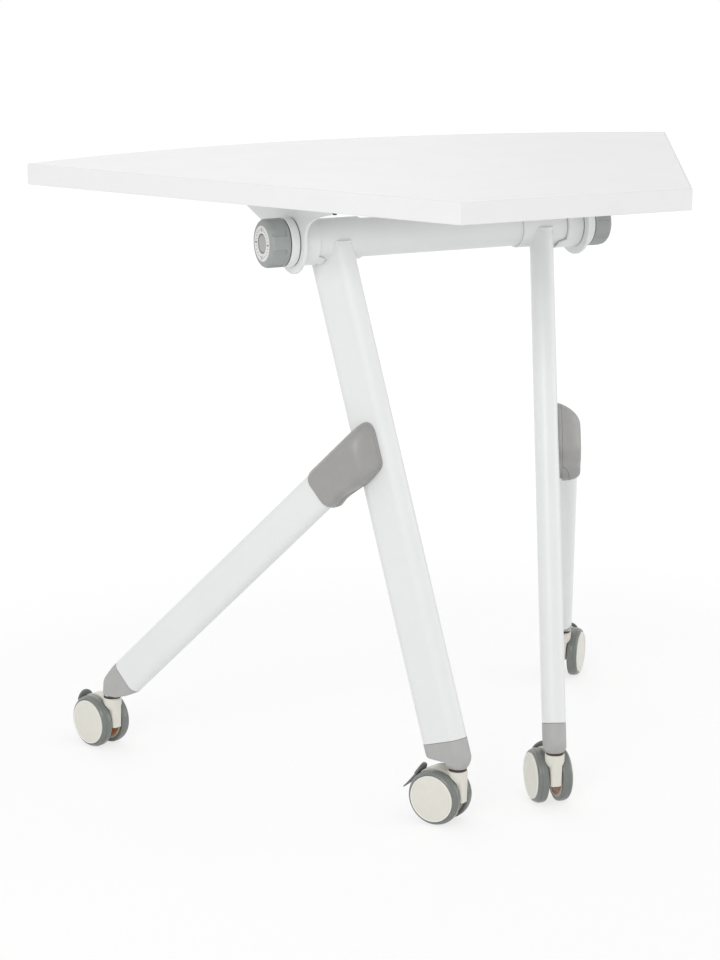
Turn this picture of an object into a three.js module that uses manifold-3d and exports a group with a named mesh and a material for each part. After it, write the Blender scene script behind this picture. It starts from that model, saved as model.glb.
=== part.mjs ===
// Flip top training table for one seat: a fan shaped top that tips on a round beam, two splayed
// Y legs of flat oval tube and four twin wheel casters with brakes.
// Millimetres, +Z up. The origin is on the floor under the middle of the table. The seat side with the
// arched long edge is +Y, the short straight edge is -Y.
import * as THREE from "three";
import { mergeVertices } from "three/addons/utils/BufferGeometryUtils.js";
import Module from "manifold-3d";

// Clearances
const tubeGap = 0.3; // between a welded tube end and what it meets
const slideGap = 0.4; // round a part that turns on another
const fitGap = 0.3; // round a pressed or bolted part
const wheelClear = 1; // between a wheel and the housing

// Top
const tableHeight = 740;
const topWidth = 871; // across the two back corners
const topDepth = 603; // from the short edge to the crown of the arched edge
const backArcRise = 96;
const sideAngle = 60; // degrees, between a side edge and the line through the back corners
const topThickness = 24;
const bandThickness = 2;

// Beam line. Stations are distances from the middle of the table.
const beamY = 16;
const beamBelowTop = 56.5; // from the underside of the top to the axis
const beamDiameter = 48;
const beamWall = 2;
const sleeveDiameter = 53;
const sleeveInner = 104;
const sleeveLength = 59;
const collarDiameter = 56;
const collarLength = 21;
const stopTabReach = 4;
const stopTabThickness = 3;
const stopTabWidth = 22;
const plateThickness = 4;
const bossDiameter = 57;
const bossThickness = 11.5;
const knobDiameter = 56;
const knobLength = 24;
const knobChamfer = 5.5;
const knobRecessDiameter = 22;
const knobRecessDepth = 2.5;
const rodDiameter = 10;
const rodInKnob = 14;
const rodTipRoom = 1;
const bushLength = 18;

// Flip plate, in its own plane: distances from the axis, back is towards the arched edge
const plateFront = 110;
const plateBack = 185;
const plateLip = 12; // height of the two ends
const plateLobeRadius = 37;
const plateWaist = 8; // height above the axis where the front curve leaves the lobe
const plateTaperStart = 52; // where the straight taper to the back begins
const plateTaperRise = 6;
const flangeWidth = 36;

// Legs. The main tube stands in a plane through the front stem and the axis. The rear tube lies in a
// parallel plane, lapped on the outer face of the main tube.
const legTopX = 140.5;
const legTurn = 28.7; // degrees, between the leg's foot line and +Y
const frontStemX = 64.7;
const frontStemY = -170.6;
const legReach = 494.5; // between the stems, along the foot line
const stemTop = 66; // top of the caster housing
const mainWidth = 56.5;
const mainThickness = 27.5;
const rearWidth = 46.3;
const rearThickness = 23;
const lapGap = 1.35;
const legWall = 2;
const mainFootIn = 16; // a point of the main tube's axis, behind the front stem and above stemTop
const mainFootUp = 24;
const mainCut = 8; // square end of the main tube above that point
const rearFootIn = 26; // middle of the rear tube's square end, ahead of the rear stem and above stemTop
const rearFootUp = 30.2;
const rearSlope = 44.1; // degrees
const rearTopBack = 3; // upper end of the rear tube, behind the crossing of the two axes

// Joint cover, measured from the crossing of the two tube axes
const coverLength = 82; // along the rear tube
const coverAbove = 28; // from the rear tube's axis to the upper and the lower edge
const coverBelow = 27.5;
const coverFront = 13; // past the main tube's axis
const coverWall = 3;
const coverLean = { front: 18, lower: 7, back: 5, upper: 10 }; // how far each side rounds in
const coverCorners = [18, 7, 8, 9]; // set-backs: upper front, lower front, lower back, upper back
const coverSeam = 0.2;
const coverSeamBack = 8; // seam, from the rear tube's middle plane towards the main tube

// Foot caps. Distances behind the stem and heights above stemTop.
const capBottom = 3;
const capStep = 7;
const stemBoreDepth = 22;
const frontToe = { ahead: 13, up: 12 };
const frontPad = { ahead: 10.5, behind: 7.5 };
const frontHeel = { behind: 36, up: 10.5 };
const frontHeelEnd = { behind: 43, up: 16 };
const rearNose = { behind: 7, up: 24 };
const rearPad = { ahead: 14, behind: 8.5 };
const rearChin = { ahead: 31, up: 8 };

// Casters
const wheelDiameter = 65;
const wheelTrail = 22.5;
const wheelGap = 16; // between the two wheels
const tyreWidth = 13.5;
const tyreHeight = 4.8;
const tyreShoulder = 4;
const hubDome = 1;
const hubWeb = 4;
const hubRim = 3;
const axleDiameter = 8;
const axleBoss = 19;
const stemDiameter = 10;
const stemFlange = 20;
const stemInHousing = 22;
const neckDiameter = 23;
const neckLength = 16;
const bodyWidth = 14;
const bodyFoot = 28; // lowest point of the housing's front
const archGap = 1; // arch over the wheels' rims
const archStart = 120; // degrees round the axle, from the trailing side
const archEnd = 48;
const bossStart = 60;
const bossEnd = -160;
const pedalWidth = 14;
const pedalPivot = { behind: 20.5, up: 13 }; // from the axle
const pedalLug = 4.5; // radius round the pivot
const pedalTop = { behind: 2.5, up: 20.5 }; // middle of the paddle's upper end, from the pivot
const pedalBend = { behind: 9, up: 5.5 };
const pedalTip = { behind: 27.5, up: -12 };
const pedalThickness = 4;
const casterTurn = { front_left: 122, front_right: 78, rear_left: 108.5, rear_right: 47 };
const brakePress = { front_left: 0, front_right: 0, rear_left: 24, rear_right: 24 }; // degrees

// Facets
const roundSides = 28;
const wheelSides = 24;
const smallSides = 12;
const ovalSteps = 6;
const arcSteps = 24;
const coverSteps = 5;
const cornerSteps = 4;

// Sizes that follow
const beamZ = tableHeight - topThickness - beamBelowTop;
const sleeveOuter = sleeveInner + sleeveLength;
const collarInner = sleeveOuter + slideGap;
const plateInner = collarInner + collarLength;
const bossInner = plateInner + plateThickness;
const knobInner = bossInner + bossThickness + slideGap;
const knobOuter = knobInner + knobLength;
const rearOffset = (mainThickness + rearThickness) / 2 + lapGap;
const wheelRadius = wheelDiameter / 2;
const tyreInner = wheelRadius - tyreHeight;
const wheelInner = wheelGap / 2;
const wheelOuter = wheelInner + tyreWidth;

const finishes = {
  laminate: { color: 0xf3f3f3, roughness: 0.45, metalness: 0 },
  edging: { color: 0xeeeeee, roughness: 0.5, metalness: 0 },
  enamel: { color: 0xe6e9e8, roughness: 0.4, metalness: 0 },
  steel: { color: 0xb8bbbd, roughness: 0.35, metalness: 1 },
  capPlastic: { color: 0xb0b0af, roughness: 0.55, metalness: 0 },
  coverPlastic: { color: 0xa3a2a0, roughness: 0.55, metalness: 0 },
  knobPlastic: { color: 0x84888a, roughness: 0.5, metalness: 0 },
  tyreRubber: { color: 0x868a86, roughness: 0.6, metalness: 0 },
  casterNylon: { color: 0xdeddd2, roughness: 0.45, metalness: 0 },
  pedalPlastic: { color: 0x6f736f, roughness: 0.55, metalness: 0 },
};

const wasm = await Module();
wasm.setup();

// A closed geometry as a solid for joining and cutting.
function solidOf(geometry) {
  const bare = geometry.index ? geometry.toNonIndexed() : geometry.clone();
  bare.deleteAttribute("normal");
  bare.deleteAttribute("uv");
  const merged = mergeVertices(bare, 1e-4);
  const vertProperties = merged.attributes.position.array;
  const triVerts = new Uint32Array(merged.index.array);
  return new wasm.Manifold(new wasm.Mesh({ numProp: 3, vertProperties, triVerts }));
}

function geometryOf(solid) {
  const mesh = solid.getMesh();
  const geometry = new THREE.BufferGeometry();
  geometry.setAttribute("position", new THREE.BufferAttribute(mesh.vertProperties, 3));
  geometry.setIndex(new THREE.BufferAttribute(mesh.triVerts, 1));
  const faceted = geometry.toNonIndexed();
  faceted.computeVertexNormals();
  return faceted;
}

function cut(body, ...tools) {
  return geometryOf(tools.reduce((left, tool) => left.subtract(solidOf(tool)), solidOf(body)));
}

function join(body, ...others) {
  return geometryOf(others.reduce((sum, other) => sum.add(solidOf(other)), solidOf(body)));
}

function keep(body, region) {
  return geometryOf(solidOf(body).intersect(solidOf(region)));
}

// A part turned about +Z from [radius, height] points that run round the section.
function turned(points, sides, closed = false) {
  const profile = points.map(([radius, height]) => new THREE.Vector2(radius, height));
  if (closed) profile.push(profile[0].clone());
  return new THREE.LatheGeometry(profile, sides).rotateX(Math.PI / 2);
}

function ring(inner, outer, low, high, sides) {
  const section = [[inner, low], [outer, low], [outer, high], [inner, high]];
  return turned(section, sides, true);
}

function rod(radius, low, high, sides) {
  return turned([[0, low], [radius, low], [radius, high], [0, high]], sides);
}

// Turns a part made about +Z so that it lies along +X, at the height of the beam.
function onBeam(geometry) {
  return geometry.rotateY(Math.PI / 2).translate(0, beamY, beamZ);
}

function polygon(points) {
  return new THREE.Shape(points.map(([x, y]) => new THREE.Vector2(x, y)));
}

// A flat piece with its outline in X and Z and its thickness centred on Y.
function upright(shape, thickness, options = {}) {
  const settings = { depth: thickness, bevelEnabled: false, curveSegments: ovalSteps, ...options };
  return new THREE.ExtrudeGeometry(shape, settings).rotateX(Math.PI / 2).translate(0, thickness / 2, 0);
}

function flatOval(width, thickness) {
  const shape = new THREE.Shape();
  const reach = (width - thickness) / 2;
  shape.absarc(reach, 0, thickness / 2, -Math.PI / 2, Math.PI / 2);
  shape.absarc(-reach, 0, thickness / 2, Math.PI / 2, Math.PI * 1.5);
  return shape;
}

// A flat oval bar between two points of the leg's plane, its width in that plane.
function ovalBar(from, to, width, thickness, hollow = 0) {
  const shape = flatOval(width, thickness);
  if (hollow) shape.holes.push(flatOval(width - 2 * hollow, thickness - 2 * hollow));
  const along = to.clone().sub(from);
  const settings = { depth: along.length(), bevelEnabled: false, curveSegments: ovalSteps };
  const bar = new THREE.ExtrudeGeometry(shape, settings);
  along.normalize();
  const across = new THREE.Vector3(along.y, 0, -along.x);
  const axis = new THREE.Vector3(along.x, 0, along.y);
  const basis = new THREE.Matrix4().makeBasis(across, new THREE.Vector3(0, 1, 0), axis);
  return bar.applyMatrix4(basis).translate(from.x, 0, from.y);
}

const table = new THREE.Group();

function addMesh(parent, name, geometry, finish) {
  const mesh = new THREE.Mesh(geometry, new THREE.MeshStandardMaterial(finishes[finish]));
  mesh.name = name;
  parent.add(mesh);
}

// Outline of the top, drawn in by an inset: short front edge, two slanted sides and the back arc.
function topOutline(inset) {
  const slope = THREE.MathUtils.degToRad(sideAngle);
  const halfChord = topWidth / 2;
  const crown = topDepth / 2;
  const arcRadius = (halfChord ** 2 + backArcRise ** 2) / (2 * backArcRise);
  const arcCentre = crown - arcRadius;
  const front = -crown + inset;
  const sideX = halfChord - inset / Math.sin(slope);
  const frontX = sideX - (crown - backArcRise - front) / Math.tan(slope);
  const radius = arcRadius - inset;
  const side = new THREE.Vector2(Math.cos(slope), Math.sin(slope));
  const start = new THREE.Vector2(frontX, front - arcCentre);
  const towards = start.dot(side);
  const run = -towards + Math.sqrt(towards ** 2 - start.lengthSq() + radius ** 2);
  const corner = start.addScaledVector(side, run);
  const angle = corner.angle();
  const shape = new THREE.Shape();
  shape.moveTo(-frontX, front);
  shape.lineTo(frontX, front);
  shape.lineTo(corner.x, corner.y + arcCentre);
  shape.absarc(0, arcCentre, radius, angle, Math.PI - angle);
  return shape;
}

function addTop() {
  const settings = { depth: topThickness, bevelEnabled: false, curveSegments: arcSteps };
  const board = new THREE.ExtrudeGeometry(topOutline(bandThickness + fitGap), settings);
  const bandShape = topOutline(0);
  bandShape.holes.push(topOutline(bandThickness));
  const band = new THREE.ExtrudeGeometry(bandShape, settings);
  const underside = tableHeight - topThickness;
  addMesh(table, "top_board", board.translate(0, 0, underside), "laminate");
  addMesh(table, "edge_band", band.translate(0, 0, underside), "edging");
}

// Outline of a flip plate about the axis: lobe below, long straight taper to the back, short curve in front.
function plateOutline() {
  const lipFoot = beamBelowTop - plateLip;
  const waistAngle = Math.asin(plateWaist / plateLobeRadius);
  const waistX = -plateLobeRadius * Math.cos(waistAngle);
  const shape = new THREE.Shape();
  shape.moveTo(plateBack, beamBelowTop);
  shape.lineTo(-plateFront, beamBelowTop);
  shape.lineTo(-plateFront, lipFoot);
  shape.quadraticCurveTo(waistX, lipFoot - plateLip, waistX, plateWaist);
  shape.absarc(0, 0, plateLobeRadius, Math.PI - waistAngle, Math.PI * 2 - waistAngle);
  shape.quadraticCurveTo(plateLobeRadius, 0, plateTaperStart, plateTaperRise);
  shape.lineTo(plateBack, lipFoot);
  return shape;
}

// A part made about +Z for the right hand end of the beam, turned over for the left hand end.
function handed(geometry, side) {
  return side > 0 ? geometry : geometry.rotateX(Math.PI);
}

// Pieces that turn with the top on one side of the beam. side is -1 for the left and 1 for the right.
function addFlipBracket(side, label) {
  const hole = rod(rodDiameter / 2 + slideGap, -plateThickness, 2 * plateThickness, smallSides);
  const settings = { depth: plateThickness, bevelEnabled: false, curveSegments: 2 * ovalSteps };
  const web = cut(new THREE.ExtrudeGeometry(plateOutline(), settings), hole);
  const flange = new THREE.BoxGeometry(plateBack + plateFront, plateThickness, flangeWidth);
  const flangeMiddle = side > 0 ? plateThickness - flangeWidth / 2 : flangeWidth / 2;
  flange.translate((plateBack - plateFront) / 2, beamBelowTop - plateThickness / 2, flangeMiddle);
  const upAxes = new THREE.Matrix4().makeBasis(
    new THREE.Vector3(0, 1, 0),
    new THREE.Vector3(0, 0, 1),
    new THREE.Vector3(1, 0, 0),
  );
  const plate = join(web, flange).applyMatrix4(upAxes);
  const plateX = side > 0 ? plateInner : -plateInner - plateThickness;
  addMesh(table, label + "_flip_plate", plate.translate(plateX, beamY, beamZ), "enamel");

  const bore = beamDiameter / 2 + slideGap;
  const tabInner = sleeveDiameter / 2 + slideGap;
  const tab = new THREE.BoxGeometry(stopTabThickness, stopTabWidth, stopTabReach + collarLength / 2);
  tab.translate(tabInner + stopTabThickness / 2, 0, (collarLength / 2 - stopTabReach) / 2);
  const collar = join(ring(bore, collarDiameter / 2, 0, collarLength, roundSides), tab);
  collar.translate(0, 0, collarInner);
  addMesh(table, label + "_flip_collar", onBeam(handed(collar, side)), "enamel");

  const bossOuter = bossInner + bossThickness;
  const boss = ring(rodDiameter / 2 + slideGap, bossDiameter / 2, bossInner, bossOuter, roundSides);
  addMesh(table, label + "_boss_ring", onBeam(handed(boss, side)), "enamel");
}

function addBeam() {
  const beamEnd = plateInner - slideGap;
  const bore = beamDiameter / 2 - beamWall;
  const tube = ring(bore, beamDiameter / 2, -beamEnd, beamEnd, roundSides);
  addMesh(table, "beam_tube", onBeam(tube), "enamel");
  const rodEnd = knobInner + rodInKnob;
  addMesh(table, "tie_rod", onBeam(rod(rodDiameter / 2, -rodEnd, rodEnd, smallSides)), "steel");
}

// Pieces of the frame at one end of the beam: sleeve, bush and clamp knob.
function addBeamEnd(side, label) {
  const sleeve = ring(beamDiameter / 2 + fitGap, sleeveDiameter / 2, sleeveInner, sleeveOuter, roundSides);
  addMesh(table, label + "_leg_sleeve", onBeam(handed(sleeve, side)), "enamel");

  const bushEnd = plateInner - slideGap;
  const bushRadius = beamDiameter / 2 - beamWall - fitGap;
  const bush = ring(rodDiameter / 2 + fitGap, bushRadius, bushEnd - bushLength, bushEnd, smallSides * 2);
  addMesh(table, label + "_beam_bush", onBeam(handed(bush, side)), "pedalPlastic");

  const knobRadius = knobDiameter / 2;
  const boreRadius = rodDiameter / 2 + fitGap;
  const boreEnd = knobInner + rodInKnob + rodTipRoom;
  const knob = turned([
    [boreRadius, knobInner],
    [knobRadius, knobInner],
    [knobRadius, knobOuter - knobChamfer],
    [knobRadius - knobChamfer, knobOuter],
    [knobRecessDiameter / 2, knobOuter],
    [knobRecessDiameter / 2, knobOuter - knobRecessDepth],
    [0, knobOuter - knobRecessDepth],
    [0, boreEnd],
    [boreRadius, boreEnd],
  ], roundSides, true);
  addMesh(table, label + "_clamp_knob", onBeam(handed(knob, side)), "knobPlastic");
}

// Frame of one leg: X along the foot line from front to rear, Z up the plane of the main tube, Y across it.
// outward is the sign of Y on the side away from the other leg.
function legFrame(side) {
  const turn = THREE.MathUtils.degToRad(legTurn);
  const front = new THREE.Vector3(side * frontStemX, frontStemY, stemTop);
  const top = new THREE.Vector3(side * legTopX, beamY, beamZ);
  const along = new THREE.Vector3(side * Math.sin(turn), Math.cos(turn), 0);
  const across = top.clone().sub(front).cross(along).normalize();
  const up = along.clone().cross(across);
  const group = new THREE.Group();
  group.position.copy(front);
  group.quaternion.setFromRotationMatrix(new THREE.Matrix4().makeBasis(along, across, up));
  group.updateMatrix();
  const outward = -side;
  const rearStem = new THREE.Vector3(legReach, outward * rearOffset, 0).applyMatrix4(group.matrix);
  const toLeg = group.matrix.clone().invert();
  return { group, toLeg, outward, front, rearStem, top: top.clone().applyMatrix4(toLeg) };
}

// The two tube axes in the leg's plane, as 2-D points.
function legLines(frame) {
  const top = new THREE.Vector2(frame.top.x, frame.top.z);
  const mainFoot = new THREE.Vector2(mainFootIn, mainFootUp);
  const mainAlong = top.clone().sub(mainFoot).normalize();
  const mainEnd = mainFoot.clone().addScaledVector(mainAlong, mainCut);
  const slope = THREE.MathUtils.degToRad(rearSlope);
  const rearAlong = new THREE.Vector2(Math.cos(slope), -Math.sin(slope));
  const rearEnd = new THREE.Vector2(legReach - rearFootIn, rearFootUp);
  const run = rearEnd.clone().sub(mainFoot).cross(rearAlong) / mainAlong.cross(rearAlong);
  const crossing = mainFoot.clone().addScaledVector(mainAlong, run);
  const rearTop = crossing.clone().addScaledVector(rearAlong, rearTopBack);
  return { top, mainAlong, mainEnd, rearAlong, rearTop, rearEnd, crossing };
}

// Room for a caster in the leg's frame: the stem's bore and everything under the cap's level bottom.
function stemRoom(frame, stem) {
  const bottom = stemTop + capBottom;
  const size = mainWidth * 4;
  const bore = rod(stemDiameter / 2 + fitGap, bottom - stemBoreDepth, bottom + stemBoreDepth, smallSides);
  const under = new THREE.BoxGeometry(size, size, size).translate(0, 0, bottom - size / 2);
  return [bore, under].map((tool) => tool.translate(stem.x, stem.y, 0).applyMatrix4(frame.toLeg));
}

function addLeg(side, label) {
  const frame = legFrame(side);
  const line = legLines(frame);
  const group = frame.group;
  const rearPlane = frame.outward * rearOffset;
  table.add(group);
  const sleeveRoom = onBeam(rod(sleeveDiameter / 2 + tubeGap, -sleeveOuter, sleeveOuter, roundSides));
  sleeveRoom.applyMatrix4(frame.toLeg);
  const main = cut(ovalBar(line.mainEnd, line.top, mainWidth, mainThickness, legWall), sleeveRoom);
  addMesh(group, label + "_main_leg", main, "enamel");
  const rear = ovalBar(line.rearTop, line.rearEnd, rearWidth, rearThickness, legWall);
  addMesh(group, label + "_rear_leg", rear.translate(0, rearPlane, 0), "enamel");
  addJointCover(frame, line, label);
  addFrontCap(frame, line, label);
  addRearCap(frame, line, label);
  return frame;
}

// An outline with straight sides and each corner rounded by its own set-back.
function softPolygon(corners, setBacks) {
  const shape = new THREE.Shape();
  corners.forEach((corner, i) => {
    const before = corners[(i + corners.length - 1) % corners.length];
    const after = corners[(i + 1) % corners.length];
    const into = before.clone().sub(corner).setLength(setBacks[i]).add(corner);
    const out = after.clone().sub(corner).setLength(setBacks[i]).add(corner);
    if (i) shape.lineTo(into.x, into.y);
    else shape.moveTo(into.x, into.y);
    shape.quadraticCurveTo(corner.x, corner.y, out.x, out.y);
  });
  return shape;
}

// Corners of the joint cover in the leg's plane, at a share of the way its sides lean in.
function coverOutline(line, share) {
  const across = new THREE.Vector2(-line.rearAlong.y, line.rearAlong.x);
  const ahead = new THREE.Vector2(-line.mainAlong.y, line.mainAlong.x);
  const forward = coverFront - share * coverLean.front;
  const back = coverLength - share * coverLean.back;
  const above = coverAbove - share * coverLean.upper;
  const below = share * coverLean.lower - coverBelow;
  const frontCorner = (over) => {
    const rise = (over - forward * ahead.dot(across)) / line.mainAlong.dot(across);
    return line.crossing.clone().addScaledVector(ahead, forward).addScaledVector(line.mainAlong, rise);
  };
  const backCorner = (over) =>
    line.crossing.clone().addScaledVector(line.rearAlong, back).addScaledVector(across, over);
  return [frontCorner(above), frontCorner(below), backCorner(below), backCorner(above)];
}

// The cover's outer form: a rounded outline that closes in like a quarter ellipse towards the outer face.
function coverForm(line, outward, inner, outer) {
  const points = [];
  for (let step = 0; step <= coverSteps; step++) {
    const bend = (step / coverSteps) * Math.PI / 2;
    const height = outward * (inner + (outer - inner) * Math.sin(bend));
    const outline = softPolygon(coverOutline(line, 1 - Math.cos(bend)), coverCorners);
    outline.getPoints(cornerSteps).forEach((point) => points.push([point.x, height, point.y]));
  }
  return geometryOf(wasm.Manifold.hull(points));
}

// Moulded cover over the upper end of the rear tube: an outer shell and a base against the main tube.
function addJointCover(frame, line, label) {
  const inner = mainThickness / 2 + tubeGap;
  const outer = rearOffset + rearThickness / 2 + coverWall;
  const grown = 2 * tubeGap;
  const roomStart = line.rearTop.clone().addScaledVector(line.rearAlong, -tubeGap);
  const room = ovalBar(roomStart, line.rearEnd, rearWidth + grown, rearThickness + grown);
  room.translate(0, frame.outward * rearOffset, 0);
  const cover = cut(coverForm(line, frame.outward, inner, outer), room);
  const seam = rearOffset - coverSeamBack;
  const size = coverLength * 4;
  const slab = (low, high) => new THREE.BoxGeometry(size, high - low, size)
    .translate(line.crossing.x, frame.outward * (low + high) / 2, line.crossing.y);
  const shellPart = keep(cover, slab(seam + coverSeam / 2, outer + coverWall));
  const basePart = keep(cover, slab(inner - coverWall, seam - coverSeam / 2));
  addMesh(frame.group, label + "_joint_cover", shellPart, "coverPlastic");
  addMesh(frame.group, label + "_joint_base", basePart, "coverPlastic");
}

// Front foot cap: closes the main tube and carries the front stem.
function addFrontCap(frame, line, label) {
  const over = new THREE.Vector2(line.mainAlong.y, -line.mainAlong.x);
  const seat = line.mainEnd.clone().addScaledVector(line.mainAlong, -tubeGap);
  const seatEdge = (reach) => seat.clone().addScaledVector(over, reach).toArray();
  const outline = polygon([
    seatEdge(mainWidth),
    seatEdge(-mainWidth),
    [-mainWidth, 2 * frontToe.up],
    [-frontToe.ahead, frontToe.up],
    [-frontPad.ahead, 0],
    [frontPad.behind, 0],
    [frontPad.behind, capBottom + capStep],
    [frontHeel.behind, frontHeel.up],
    [frontHeelEnd.behind, frontHeelEnd.up],
  ]);
  const start = seat.clone().addScaledVector(line.mainAlong, -mainWidth);
  const section = ovalBar(start, line.top, mainWidth, mainThickness);
  const block = keep(upright(outline, 2 * mainThickness), section);
  const cap = cut(block, ...stemRoom(frame, frame.front));
  addMesh(frame.group, label + "_front_foot_cap", cap, "capPlastic");
}

// Rear foot cap: closes the rear tube and carries the rear stem.
function addRearCap(frame, line, label) {
  const across = new THREE.Vector2(-line.rearAlong.y, line.rearAlong.x);
  const seat = line.rearEnd.clone().addScaledVector(line.rearAlong, tubeGap);
  const seatEdge = (reach) => seat.clone().addScaledVector(across, reach).toArray();
  const outline = polygon([
    seatEdge(-rearWidth / 2),
    [legReach - rearChin.ahead, rearChin.up],
    [legReach - rearPad.ahead, capBottom],
    [legReach - rearPad.ahead, 0],
    [legReach + rearPad.behind, 0],
    [legReach + rearNose.behind, rearNose.up],
    seatEdge(rearWidth / 2),
  ]);
  const finish = seat.clone().addScaledVector(line.rearAlong, 2 * rearWidth);
  const section = ovalBar(line.crossing, finish, rearWidth, rearThickness);
  const block = keep(upright(outline, 2 * rearThickness), section);
  block.translate(0, frame.outward * rearOffset, 0);
  const cap = cut(block, ...stemRoom(frame, frame.rearStem));
  addMesh(frame.group, label + "_rear_foot_cap", cap, "capPlastic");
}

// Stem pressed into the foot cap, with a thrust flange over the housing.
function stemGeometry() {
  const radius = stemDiameter / 2;
  const flangeTop = stemTop + capBottom - fitGap;
  const top = flangeTop + stemBoreDepth - fitGap;
  return turned([
    [0, stemTop - stemInHousing],
    [radius, stemTop - stemInHousing],
    [radius, stemTop + fitGap],
    [stemFlange / 2, stemTop + fitGap],
    [stemFlange / 2, flangeTop],
    [radius, flangeTop],
    [radius, top],
    [0, top],
  ], smallSides);
}

// Housing between the wheels: a neck round the stem, an arch over the axle and the axle boss.
function housingGeometry() {
  const bodyHalf = bodyWidth / 2;
  const angle = THREE.MathUtils.degToRad;
  const arch = new THREE.Shape();
  arch.moveTo(-bodyHalf, bodyFoot);
  arch.lineTo(-bodyHalf, stemTop - archGap);
  arch.absarc(wheelTrail, wheelRadius, wheelRadius + archGap, angle(archStart), angle(archEnd), true);
  arch.absarc(wheelTrail, wheelRadius, axleBoss, angle(bossStart), angle(bossEnd), true);
  const neck = rod(neckDiameter / 2, stemTop - neckLength, stemTop, 2 * smallSides);
  const stemFoot = stemTop - stemInHousing - fitGap;
  const stemHole = rod(stemDiameter / 2 + fitGap, stemFoot, stemTop + fitGap, smallSides);
  const axleHole = rod(axleDiameter / 2 + fitGap, -bodyWidth, bodyWidth, smallSides);
  const wheelRoom = [[-wheelOuter, wheelClear - wheelInner], [wheelInner - wheelClear, wheelOuter]]
    .map(([low, high]) => rod(wheelRadius + wheelClear, low, high, wheelSides));
  const tools = [axleHole, ...wheelRoom]
    .map((tool) => tool.rotateX(Math.PI / 2).translate(wheelTrail, 0, wheelRadius));
  return cut(join(neck, upright(arch, bodyWidth)), stemHole, ...tools);
}

// Tyre with round shoulders, on the side of the wheel that faces away from the housing.
function tyreGeometry() {
  const bend = tyreShoulder * (1 - Math.SQRT1_2);
  return turned([
    [tyreInner, wheelInner],
    [wheelRadius - bend, wheelInner],
    [wheelRadius, wheelInner + bend],
    [wheelRadius, wheelOuter - tyreShoulder],
    [wheelRadius - bend, wheelOuter - bend],
    [wheelRadius - tyreShoulder, wheelOuter],
    [tyreInner, wheelOuter],
  ], wheelSides, true);
}

// Hub: a cup open towards the housing, with a slightly domed outer face.
function hubGeometry() {
  const radius = tyreInner - fitGap;
  const bore = axleDiameter / 2 + slideGap;
  return turned([
    [bore, wheelInner],
    [bore + hubRim, wheelInner],
    [bore + hubRim, wheelOuter - hubWeb],
    [radius - hubRim, wheelOuter - hubWeb],
    [radius - hubRim, wheelInner],
    [radius, wheelInner],
    [radius, wheelOuter],
    [radius / 2, wheelOuter + hubDome],
    [0, wheelOuter + hubDome],
    [0, wheelOuter - hubDome],
    [bore, wheelOuter - hubDome],
  ], wheelSides, true);
}

// Brake pedal: a lug on its pivot between the wheels carries a paddle that follows the rims down to a tail.
function pedalGeometry(press) {
  const half = pedalThickness / 2;
  const paddle = new THREE.Shape();
  paddle.moveTo(pedalTop.behind + half, pedalTop.up);
  const { behind, up } = pedalBend;
  paddle.quadraticCurveTo(behind + half, up + half, pedalTip.behind, pedalTip.up + half / 2);
  paddle.lineTo(pedalTip.behind, pedalTip.up - half / 2);
  paddle.quadraticCurveTo(behind - half, up - half, pedalTop.behind - half, pedalTop.up);
  const arm = polygon([
    [0, pedalLug],
    [0, -pedalLug],
    [behind + 1.5 * half, up - half / 2],
    [behind, up + pedalThickness],
  ]);
  const lug = rod(pedalLug, -pedalWidth / 2, pedalWidth / 2, smallSides).rotateX(Math.PI / 2);
  const pedal = join(upright(paddle, pedalWidth), upright(arm, pedalWidth), lug);
  pedal.rotateY(THREE.MathUtils.degToRad(press));
  return pedal.translate(wheelTrail + pedalPivot.behind, 0, wheelRadius + pedalPivot.up);
}

function addCaster(corner, stem) {
  const fixed = new THREE.Group();
  fixed.position.set(stem.x, stem.y, 0);
  table.add(fixed);
  addMesh(fixed, corner + "_caster_stem", stemGeometry(), "steel");
  const caster = new THREE.Group();
  caster.rotation.z = THREE.MathUtils.degToRad(casterTurn[corner]);
  fixed.add(caster);
  addMesh(caster, corner + "_caster_housing", housingGeometry(), "casterNylon");
  addMesh(caster, corner + "_brake_pedal", pedalGeometry(brakePress[corner]), "pedalPlastic");
  const axle = new THREE.Group();
  axle.position.set(wheelTrail, 0, wheelRadius);
  caster.add(axle);
  const axleHalf = wheelOuter - 2 * hubDome;
  const pin = rod(axleDiameter / 2, -axleHalf, axleHalf, smallSides).rotateX(Math.PI / 2);
  addMesh(axle, corner + "_caster_axle", pin, "steel");
  for (const [letter, turn] of [["a", -Math.PI / 2], ["b", Math.PI / 2]]) {
    addMesh(axle, `${corner}_tyre_${letter}`, tyreGeometry().rotateX(turn), "tyreRubber");
    addMesh(axle, `${corner}_hub_${letter}`, hubGeometry().rotateX(turn), "casterNylon");
  }
}

addTop();
addBeam();
for (const [side, label] of [[-1, "left"], [1, "right"]]) {
  addFlipBracket(side, label);
  addBeamEnd(side, label);
  const leg = addLeg(side, label);
  addCaster("front_" + label, leg.front);
  addCaster("rear_" + label, leg.rearStem);
}

// The casters trail a little behind the top, so the origin moves under the middle of the whole.
const span = new THREE.Box3().setFromObject(table, true);
table.children.forEach((child) => child.position.y -= (span.min.y + span.max.y) / 2);

export default table;
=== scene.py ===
# Flip top training table for one seat: the looks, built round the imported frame.
# Shapes are drawn in millimetres in the table's own frame and turned into metres when a piece is made.
import math

import bmesh
import bpy
from mathutils import Matrix, Vector
from mathutils.geometry import interpolate_bezier


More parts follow.
